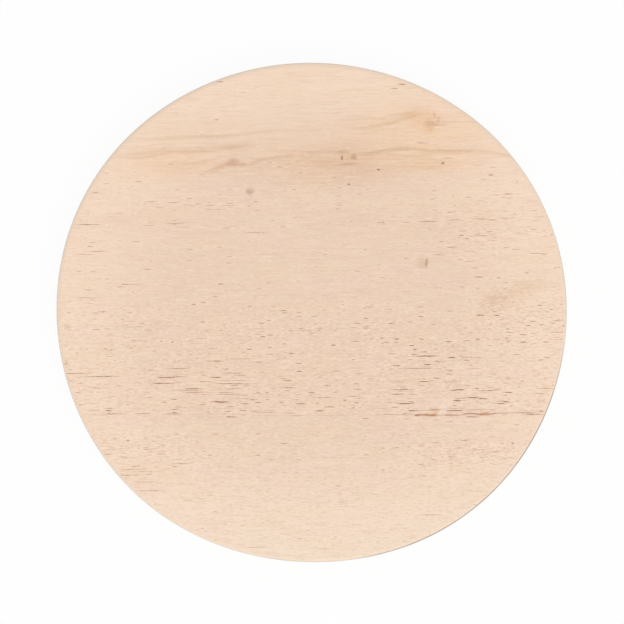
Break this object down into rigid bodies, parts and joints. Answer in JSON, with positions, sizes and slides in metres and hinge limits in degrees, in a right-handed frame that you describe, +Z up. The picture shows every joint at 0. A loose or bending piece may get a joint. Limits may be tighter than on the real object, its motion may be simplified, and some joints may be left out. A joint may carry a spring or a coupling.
{
  "type": "roti board",
  "caption": "Flat round wooden board for rolling flatbread, edge-glued from planks over dowels, standing on battens screwed across its underside.",
  "frame": {"origin": "on the table, under the middle of the board", "axes": "+X along the grain and the seam, +Y across the grain from the narrow plank to the wide one, +Z up out of the rolling face"},
  "size_m": [0.3, 0.2936, 0.04],
  "materials": {
    "plank_wood": "matte",
    "batten_wood": "matte",
    "dowel_wood": "matte",
    "screw_steel": "satin"
  },
  "bodies": {
    "root": {"wide_plank": "plank_wood", "narrow_plank": "plank_wood", "seam_dowel_1": "dowel_wood", "seam_dowel_2": "dowel_wood", "seam_dowel_3": "dowel_wood", "seam_dowel_4": "dowel_wood", "left_batten": "batten_wood", "right_batten": "batten_wood", "left_batten_screw_1": "screw_steel", "left_batten_screw_2": "screw_steel", "left_batten_screw_3": "screw_steel", "left_batten_screw_4": "screw_steel", "right_batten_screw_1": "screw_steel", "right_batten_screw_2": "screw_steel", "right_batten_screw_3": "screw_steel", "right_batten_screw_4": "screw_steel"}
  },
  "joints": []
}
